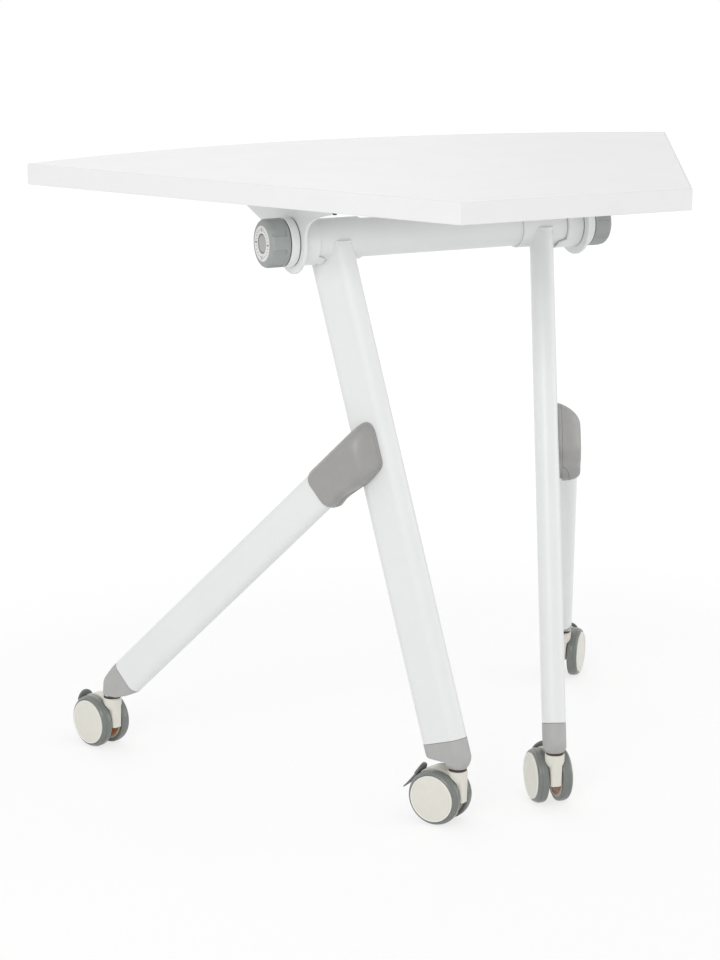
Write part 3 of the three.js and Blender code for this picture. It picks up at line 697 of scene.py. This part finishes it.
# Joint cover over the lap, measured from the crossing of the two axes: a rounded outline that closes in
# towards its outer face.
cover = {"length": 85.5, "above": 28, "below": 28.5, "front": 13, "wall": 3, "clear": 0.3, "seam": 18.6,
         "gap": 0.25, "layers": 16, "cornerSteps": 8, "cornerPull": 0.6, "edgeSteps": 14,
         "lean": {"front": 22, "lower": 8, "back": 7.5, "upper": 12}, "draft": 0.3,
         "corners": (24, 8, 13, 11),
         "shellEdge": {"lift": 0.5, "bow": 0.4, "sway": 1.6}, "baseEdge": {"lift": 4, "bow": -1.5, "sway": 1},
         "parting": (18.9, 22.2, 24.4, 25.8, 26.7, 27.2, 27.5, 27.6, 27.6, 27.6, 27.6, 27.6),
         "partingFrom": 7, "partingWide": 0.3}
coverInner = leg["mainThick"] / 2 + cover["clear"]
coverOuter = rearOffset + leg["rearThick"] / 2 + cover["wall"]


# How far the sides have closed in at a height: a little all the way, the most near the outer face.
def coverShare(height):
    up = min(1, (height - coverInner) / (coverOuter - coverInner))
    return cover["draft"] * up + (1 - cover["draft"]) * (1 - math.sqrt(1 - up * up))


def coverCorners(share, lift):
    ahead = Vector((-alongMain.y, alongMain.x))
    lean = cover["lean"]
    forward, back = cover["front"] - share * lean["front"], cover["length"] - share ** 2 * lean["back"]
    above, below = cover["above"] - share * lean["upper"], share ** 2 * lean["lower"] - cover["below"]
    corners = []
    for over in (above, below):
        rise = (over - forward * ahead.dot(acrossRear)) / alongMain.dot(acrossRear)
        corners.append(lines["crossing"] + ahead * forward + alongMain * rise)
    for over in (below + lift * (1 - share), above):
        corners.append(lines["crossing"] + alongRear * back + acrossRear * over)
    return corners


# The outline at a height, with soft corners and a lower edge that sways out near the front, in near the back.
def coverLoop(height, edge):
    corners = coverCorners(coverShare(height), edge["lift"])
    pull = cover["cornerPull"]
    points = []
    for i, corner in enumerate(corners):
        soft = cover["corners"][i]
        into = corner + (corners[i - 1] - corner).normalized() * soft
        out = corner + (corners[(i + 1) % 4] - corner).normalized() * soft
        ends = [p.to_3d() for p in (into, into.lerp(corner, pull), out.lerp(corner, pull), out)]
        points += [p.to_2d() for p in interpolate_bezier(*ends, cover["cornerSteps"])]
        if i == 1:
            goal = corners[2] + (corner - corners[2]).normalized() * cover["corners"][2]
            for step in range(1, cover["edgeSteps"]):
                part = step / cover["edgeSteps"]
                inward = edge["bow"] * math.sin(part * math.pi) - edge["sway"] * math.sin(2 * part * math.pi)
                points.append(out.lerp(goal, part) + acrossRear * inward)
    return [(p.x, p.y, height) for p in points]


def coverPart(low, high, edge):
    span = coverOuter - coverInner
    first, last = (math.asin((height - coverInner) / span) for height in (low, high))
    loops = []
    for layer in range(cover["layers"] + 1):
        height = coverInner + span * math.sin(first + (last - first) * layer / cover["layers"])
        loops.append(coverLoop(height, edge))
    return skinned(loops)


# A fine parting line runs from the seam round to the back end, on the lower side of the cover, drawn as a
# thin dark grey bead that paints the shade line there.
def coverPartingShade():
    first = 2 * cover["cornerSteps"] + cover["partingFrom"]
    points = [coverLoop(height, cover["shellEdge"])[first + step]
              for step, height in enumerate(cover["parting"])]
    return beadShape(points, cover["partingWide"], False)


def buildCovers():
    for label, side in sides.items():
        stand = legPlace(side)[0] @ standing(-side)
        shell = coverPart(cover["seam"] + cover["gap"] / 2, coverOuter, cover["shellEdge"])
        base = coverPart(coverInner, cover["seam"] - cover["gap"] / 2, cover["baseEdge"])
        # the parting bead's dark grey is painted shade along the seam
        for part, bm, finish, nodes, sharp in (("parting", coverPartingShade(), "greyNylonAndSeamShade", (), 60),
                                               ("shell", shell, "mouldedAbs", [label + "_joint_cover"], 50),
                                               ("base", base, "mouldedAbs", [label + "_joint_base"], 32)):
            makePiece(f"{label}_cover_{part}", moved(bm, stand), finish, "frame", nodes,
                      sharp)


# Foot caps: the tube's own section, kept inside a rounded outline that meets the tube with a fine gap.
# Outline points are behind the stem and above stemTop.
capBlank = {"length": 120, "gap": 0.3, "half": 40, "cornerSteps": 6, "softSteps": 2, "softFrom": 48}
frontCap = {"corner": 4.5, "outline": [(-30, 3), (7.5, 3), (7.5, 10), (36, 10.5), (43, 16)], "shoulder": 24,
            "before": 90, "soft": 0.8, "cuts": 59, "toeFrom": 19, "toeTo": 3, "toeBack": 10, "toeCurve": 1.6,
            "toeLimit": 1.2, "pinchFrom": 8, "pinch": 0.2}
rearCap = {"corner": 3.5, "outline": [(-31, 8), (-14, 3), (5.4, 3), (4.6, 24)], "before": 30,
           "soft": 1.6}


def capShape(section, outline, cap):
    face = outlineFace(outline, cap["corner"], capBlank["cornerSteps"])
    slab = moved(thicken(face, -capBlank["half"], capBlank["half"]), standing(-1))
    whole = combined(section, slab, "INTERSECT")
    return softEdges(whole, cap["soft"], capBlank["softSteps"], capBlank["softFrom"])


# Draws the front of a main tube's section back towards its foot, and its two sides in, for a round toe.
def roundToe(bm):
    c = frontCap
    rungs = [e for e in bm.edges if abs(e.verts[0].co.z - e.verts[1].co.z) > leg["mainWide"]]
    bmesh.ops.subdivide_edges(bm, edges=rungs, cuts=c["cuts"])
    foot, slope = Vector(leg["mainFoot"]), alongMain.x / alongMain.y
    reach = leg["mainWide"] / 2 / alongMain.y
    for v in bm.verts:
        axis = foot.x + (v.co.z - foot.y) * slope
        down, low = (min(c["toeLimit"], max(0, (c[key] - v.co.z) / (c[key] - c["toeTo"]))) ** c["toeCurve"]
                     for key in ("toeFrom", "pinchFrom"))
        if v.co.x < axis:
            v.co.x = axis + (v.co.x - axis) * (1 - c["toeBack"] / reach * down)
        v.co.y *= 1 - c["pinch"] * low
    return bm


def buildCaps():
    over = Vector((alongMain.y, -alongMain.x))
    seat = lines["mainEnd"] - alongMain * capBlank["gap"]
    wide = leg["mainWide"]
    frontOutline = [seat - over * wide, (-wide, frontCap["shoulder"])] + frontCap["outline"]
    frontOutline.append(seat + over * wide)
    rearSeat = lines["rearEnd"] + alongRear * capBlank["gap"]
    half = leg["rearWide"] / 2
    rearOutline = [rearSeat - acrossRear * half] + [(leg["reach"] + x, y) for x, y in rearCap["outline"]]
    rearOutline.append(rearSeat + acrossRear * half)
    for label, side in sides.items():
        place = legPlace(side)[0]
        start = lines["mainEnd"] - alongMain * frontCap["before"]
        blank = ovalBar(wide, leg["mainThick"], 0, capBlank["length"])
        cap = capShape(roundToe(moved(blank, onLine(start, alongMain))), frontOutline, frontCap)
        makePiece(label + "_front_cap", moved(cap, place), "grainedPolypropylene", "frame",
                  [label + "_front_foot_cap"], 50)
        start = lines["rearEnd"] - alongRear * rearCap["before"]
        blank = ovalBar(leg["rearWide"], leg["rearThick"], 0, capBlank["length"])
        cap = capShape(moved(blank, onLine(start, alongRear)), rearOutline, rearCap)
        shift = Matrix.Translation((0, -side * rearOffset, 0))
        makePiece(label + "_rear_cap", moved(cap, place @ shift), "grainedPolypropylene", "frame",
                  [label + "_rear_foot_cap"])


buildTubes()
buildCovers()
buildCaps()
print("legs done")


# Casters. In a caster's frame X trails behind the stem, Y is the axle and Z is up from the floor.

caster = {"trail": 22.5, "radius": 32.5, "inner": 8, "outer": 21.5, "disc": 27.4, "top": 66}
casterNames = [end + "_" + label for end in ("front", "rear") for label in sides]


def casterPlace(corner):
    stem, axle = nodeMiddle(corner + "_caster_stem"), nodeMiddle(corner + "_caster_axle")
    turn = math.atan2(axle.y - stem.y, axle.x - stem.x)
    return Matrix.Translation((stem.x, stem.y, 0)) @ Matrix.Rotation(turn, 4, "Z")


# The wheel's own Z is the axle; hand 1 is the wheel on +Y and -1 the one on -Y.
def wheelPlace(hand):
    turn = Matrix.Rotation(-hand * math.pi / 2, 4, "X")
    return Matrix.Translation((caster["trail"], 0, caster["radius"])) @ turn


def tyreShape():
    r, low, high, rim = caster["radius"], caster["inner"], caster["outer"], caster["disc"] + 0.1
    tread = [(rim, low + 0.4), (r - 2.2, low), (r - 0.7, low + 0.6), (r, low + 2.4), (r, high - 6.6)]
    groove = [(r - 0.3, high - 5.4), (r - 0.95, high - 5), (r - 0.95, high - 4.5), (r - 0.75, high - 4.1)]
    shoulder = [(r - 1.1, high - 3), (r - 2.1, high - 1.5), (r - 3.3, high - 0.6)]
    lip = [(rim + 0.8, high - 0.3), (rim + 0.3, high - 0.6), (rim, high - 1.4)]
    return turnProfile(tread + groove + shoulder + lip, 96, True)


def discShape():
    low, high, r = caster["inner"], caster["outer"], caster["disc"]
    hub = [(4.4, low + 0.2), (8, low + 0.2), (8, high - 4), (r - 3, high - 4), (r - 3, low + 0.2)]
    rim = [(r, low + 0.2), (r, high - 0.6), (r - 0.9, high - 0.4), (r - 1.3, high + 0.05)]
    dome = [(r * 0.7, high + 0.35), (r * 0.35, high + 0.6), (0, high + 0.7), (0, high - 1), (4.4, high - 1)]
    return turnProfile(hub + rim + dome, 96, True)


# The raised bead between a disc and its tyre, in a paler colour that paints a bright highlight line.
def discBeadShape():
    high, r = caster["outer"], caster["disc"]
    foot = [(r - 1.5, high - 0.8), (r + 0.05, high - 0.8), (r + 0.1, high + 0.2)]
    crown = [(r - 0.15, high + 0.65), (r - 0.6, high + 0.85), (r - 1.1, high + 0.65), (r - 1.5, high + 0.15)]
    return turnProfile(foot + crown, 96, True)


# Plate with round ridges that closes the inner side of a hub.
def innerPlateShape():
    low, r = caster["inner"] + 0.05, caster["disc"] - 1.7
    ridges = [(4.6, low), (9, low), (9.4, low + 0.7), (14, low + 0.7), (14.4, low), (r - 4, low),
              (r - 3.6, low + 0.6), (r - 1, low + 0.6), (r - 0.6, low), (r, low)]
    return turnProfile(ridges + [(r, low + 2), (4.6, low + 2)], 72, True)


hood = {"half": 7, "front": 11.2, "frontSoft": 4.5, "foot": 28.5, "footBack": 0.6, "frontHigh": 50,
        "archDrop": 2.2, "archGap": 1, "archStart": 118, "archEnd": 48, "tail": ((9.5, 16.5), (6, -4)),
        "neck": 11.5, "neckFoot": 45, "neckRoot": 6.8, "neckSoft": 0.9, "bell": (10.3, 53), "shoulder": 57,
        "clear": 0.8, "roomEnd": 40, "soft": 0.7}


# Side view of the housing: a straight front, an arch over the wheels and a tail behind the axle.
def archShape():
    trail, radius, front = caster["trail"], caster["radius"], hood["front"]
    reach = radius + hood["archGap"]
    start, stop = math.radians(hood["archStart"]), math.radians(hood["archEnd"])
    spots = [(hood["footBack"] - front, hood["foot"]), (-front, hood["frontHigh"]),
             (-front, caster["top"] - hood["archDrop"]),
             (trail + reach * math.cos(start), radius + reach * math.sin(start))]
    bm = bmesh.new()
    chain = [bm.verts.new((x, z, 0)) for x, z in spots]
    linked(bm, chain)
    arc = bmesh.ops.spin(bm, geom=[chain[-1]], cent=(trail, radius, 0), axis=(0, 0, 1),
                         angle=stop - start, steps=28)["geom_last"][0]
    tail = [bm.verts.new((trail + x, radius + z, 0)) for x, z in hood["tail"]]
    linked(bm, [arc] + tail + [chain[0]])
    bmesh.ops.contextual_create(bm, geom=bm.edges[:])
    thicken(bm, -hood["half"], hood["half"])
    frontEdges = [e for e in bm.edges if all(v.co.x < 1 - front for v in e.verts)
                  and e.verts[0].co.z * e.verts[1].co.z > 0]
    bevelled(bm, frontEdges, hood["frontSoft"], 6)
    return moved(tidied(bm), standing(-1))


def housingShape():
    top, neck, soft, foot = caster["top"], hood["neck"], hood["neckSoft"], hood["neckFoot"]
    post = turnProfile([(0, foot), (hood["neckRoot"], foot), hood["bell"], (neck, hood["shoulder"]),
                        (neck, top - soft), (neck - soft, top), (0, top)], 64)
    whole = combined(archShape(), post, "UNION")
    low, wide, far = caster["inner"] - hood["clear"], caster["radius"] + hood["clear"], hood["roomEnd"]
    for hand in (1, -1):
        room = turnProfile([(0, low), (wide, low), (wide, far), (0, far)], 96)
        whole = combined(whole, moved(room, wheelPlace(hand)), "DIFFERENCE")
    return softEdges(whole, hood["soft"], 3, 40)


stemGapShade = {"bore": 10.05, "radius": 10.6, "low": 0.15, "high": 2.85, "soft": 0.15}


# Dark ring round the stem's flange, between the housing and the foot cap: painted shade in that gap, tinted
# dark brown.
def stemGapShadeShape():
    low, high = caster["top"] + stemGapShade["low"], caster["top"] + stemGapShade["high"]
    bm = ringProfile(stemGapShade["bore"], stemGapShade["radius"], low, high, 64)
    return softEdges(bm, stemGapShade["soft"], 2)


pedal = {"pivot": (43, 45.5), "top": (2.5, 20.5), "bend": (9, 5.5), "tip": (27.5, -12), "thick": 3.2,
         "sink": 1.8, "wide": 11.6, "narrow": 6.4, "moon": 12, "moonLead": 0.35, "narrowing": 4,
         "tailFrom": 0.72, "tailCut": 0.45, "square": 0.6, "press": {"front": 0, "rear": 24},
         "stations": 28, "round": 24, "lug": 4.3, "lugHalf": 6.4, "lugSoft": 0.6,
         "arm": ((-1.5, 4), (-1.5, -4), (4, -4), (12.5, 4), (9, 9.5)), "armCorner": 1.5, "armHalf": 5.5,
         "armSoft": 0.8}


# Between a circle's and a square's sine or cosine.
def squarish(value):
    return math.copysign(abs(value) ** pedal["square"], value)


# Brake pedal about its pivot: a paddle with a half moon end and a thin tail, carried by an arm.
def pedalShape(press):
    top, bend, tip = (Vector(pedal[key]) for key in ("top", "bend", "tip"))
    loops = []
    for station in range(pedal["stations"] + 1):
        part = station / pedal["stations"]
        middle = top.lerp(bend, part).lerp(bend.lerp(tip, part), part)
        along = (bend - top).lerp(tip - bend, part).normalized()
        down = (middle - top).length
        moon = min(1, (down + pedal["moonLead"]) / pedal["moon"])
        half = pedal["wide"] * math.sqrt(1 - (1 - moon) ** 2)
        narrowed = max(0, min(1, (down - pedal["moon"]) / pedal["narrowing"]))
        half += (pedal["narrow"] - pedal["wide"]) * narrowed
        half *= 1 - pedal["tailCut"] * max(0, part - pedal["tailFrom"]) / (1 - pedal["tailFrom"])
        taper = (0.5 + 0.5 * moon) * (1 - 0.75 * part ** 1.5)
        thick, sink = pedal["thick"] * taper, pedal["sink"] * taper
        loop = []
        for turn in range(pedal["round"]):
            angle = math.tau * turn / pedal["round"]
            wide = squarish(math.cos(angle)) * half
            off = squarish(math.sin(angle)) * thick - sink
            loop.append((middle.x - along.y * off, wide, middle.y + along.x * off))
        loops.append(loop)
    arm = thicken(outlineFace(pedal["arm"], pedal["armCorner"], 4), -pedal["armHalf"], pedal["armHalf"])
    moved(softEdges(arm, pedal["armSoft"], 3, 50), standing(-1))
    r, end = pedal["lug"], pedal["lugHalf"]
    lug = turnProfile([(0, -end), (r, -end), (r, end), (0, end)], 32)
    softEdges(moved(lug, Matrix.Rotation(math.pi / 2, 4, "X")), pedal["lugSoft"], 3, 50)
    whole = joined(skinned(loops), arm, lug)
    x, z = pedal["pivot"]
    return moved(whole, Matrix.Translation((x, 0, z)) @ Matrix.Rotation(math.radians(press), 4, "Y"))


def buildCasters():
    housing, stemShade = housingShape(), stemGapShadeShape()
    wheelParts = (("tread", tyreShape(), "treadUrethane", "tyre_rubber", "tyre"),
                  ("disc", discShape(), "naturalNylon", "caster_nylon", "hub"),
                  # the bead's paler colour is a painted highlight round each disc
                  ("bead", discBeadShape(), "paleHighlightNylon", "caster_nylon", None),
                  ("inner_plate", innerPlateShape(), "brownAcetal", "caster_nylon", None))
    for corner in casterNames:
        place = casterPlace(corner)
        makePiece(corner + "_housing", moved(housing.copy(), place), "naturalNylon", corner + "_caster",
                  [corner + "_caster_housing"])
        # a dark ring painted into the gap under the foot cap, standing in for its shade
        makePiece(corner + "_stem_gap_shade", moved(stemShade.copy(), place), "inkAndStemShade", "frame", ())
        press = pedal["press"][corner.split("_")[0]]
        makePiece(corner + "_pedal", moved(pedalShape(press), place), "greyNylonAndSeamShade", corner + "_brake",
                  [corner + "_brake_pedal"], 45)
        for letter, hand in (("a", 1), ("b", -1)):
            for part, shape, finish, slot, node in wheelParts:
                nodes = [f"{corner}_{node}_{letter}"] if node else ()
                makePiece(f"{corner}_{part}_{letter}", moved(shape.copy(), place @ wheelPlace(hand)), finish,
                          f"{corner}_wheel_{letter}", nodes, 50)


buildCasters()
print("casters done")


# CAD parts that still show, or lie inside, keep their shape

kept = {"zincSteel": ["tie_rod"] + [f"{c}_caster_{n}" for c in casterNames for n in ("stem", "axle")],
        "greyNylonAndSeamShade": [s + "_beam_bush" for s in sides]}
for finish, names in kept.items():
    for name in names:
        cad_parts[name].data.materials.clear()
        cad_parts[name].data.materials.append(materials[finish])


# Studio: white sweep, soft lamps and the photograph's camera

studio = {"floor": 8, "world": 0.73, "shade": 0.3, "shadeFrom": 0.7, "shadeTo": 1.5, "paper": "#f4f4f4",
          "glow": 1.05, "aim": (0, 0, 0.4)}
lamps = {"key": {"at": (-2.45, -2.4, 2.1), "size": 1.4, "power": 34},
         "fill": {"at": (2.6, -0.9, 0.55), "size": 1.8, "power": 14},
         "back": {"at": (0.4, 2.6, 2.4), "size": 2.4, "power": 9}}
view = {"at": (-1.4376, -2.66755, 1.0943), "lens": 98.16, "yaw": 26.513, "pitch": 13.551, "roll": 0.289}


# 1 for rays that the camera sees straight or in a glossy surface, 0 for the rest.
def seenRays(tree):
    rays = addNode(tree, "ShaderNodeLightPath")
    return addNode(tree, "ShaderNodeMath", {"operation": "MAXIMUM"},
                   {0: (rays, "Is Camera Ray"), 1: (rays, "Is Glossy Ray")})


def buildFloor():
    bm = bmesh.new()
    bmesh.ops.create_grid(bm, x_segments=1, y_segments=1, size=studio["floor"])
    floor = shapeObject(bm, "floor")
    material = bpy.data.materials.new("paperSweep")
    tree = emptyTree(material)
    # the shadow shows near the table and fades out to plain white further off
    place = addNode(tree, "ShaderNodeTexCoord")
    far = addNode(tree, "ShaderNodeVectorMath", {"operation": "LENGTH"}, {0: (place, "Object")})
    white = addNode(tree, "ShaderNodeMapRange",
                    {"From Min": studio["shadeFrom"], "From Max": studio["shadeTo"],
                     "To Min": 1 - studio["shade"], "To Max": 1.0},
                    {"Value": (far, "Value")})
    share = addNode(tree, "ShaderNodeMath", {"operation": "MULTIPLY"},
                    {0: (seenRays(tree), "Value"), 1: (white, "Result")})
    paper = addNode(tree, "ShaderNodeBsdfDiffuse", {"Color": hexColor(studio["paper"])})
    glow = addNode(tree, "ShaderNodeEmission", {"Color": (1, 1, 1, 1), "Strength": studio["glow"]})
    mix = addNode(tree, "ShaderNodeMixShader", None, {"Fac": (share, "Value"), 1: (paper, 0), 2: (glow, 0)})
    addNode(tree, "ShaderNodeOutputMaterial", None, {"Surface": (mix, "Shader")})
    floor.data.materials.append(material)


def buildLights():
    world = bpy.data.worlds.new("studio")
    bpy.context.scene.world = world
    tree = emptyTree(world)
    level = addNode(tree, "ShaderNodeMapRange", {"To Min": studio["world"], "To Max": 1.0},
                    {"Value": (seenRays(tree), "Value")})
    sky = addNode(tree, "ShaderNodeBackground", {"Color": (1, 1, 1, 1)}, {"Strength": (level, "Result")})
    addNode(tree, "ShaderNodeOutputWorld", None, {"Surface": (sky, "Background")})

    for name, lamp in lamps.items():
        light = bpy.data.lights.new(name, "AREA")
        light.energy = lamp["power"]
        light.size = lamp["size"]
        thing = newObject(name, light)
        thing.location = lamp["at"]
        thing.rotation_euler = (Vector(studio["aim"]) - thing.location).to_track_quat("-Z", "Y").to_euler()


def buildCamera():
    camera = bpy.data.cameras.new("camera")
    camera.lens = view["lens"]
    thing = newObject("camera", camera)
    turn = (Matrix.Rotation(-math.radians(view["yaw"]), 4, "Z")
            @ Matrix.Rotation(math.radians(90 - view["pitch"]), 4, "X")
            @ Matrix.Rotation(math.radians(view["roll"]), 4, "Z"))
    thing.matrix_world = Matrix.Translation(Vector(view["at"]) + Vector((0, topMiddle.y * mm, 0))) @ turn
    bpy.context.scene.camera = thing
    bpy.context.scene.view_settings.view_transform = "Standard"


buildFloor()
buildLights()
buildCamera()
print("studio done")
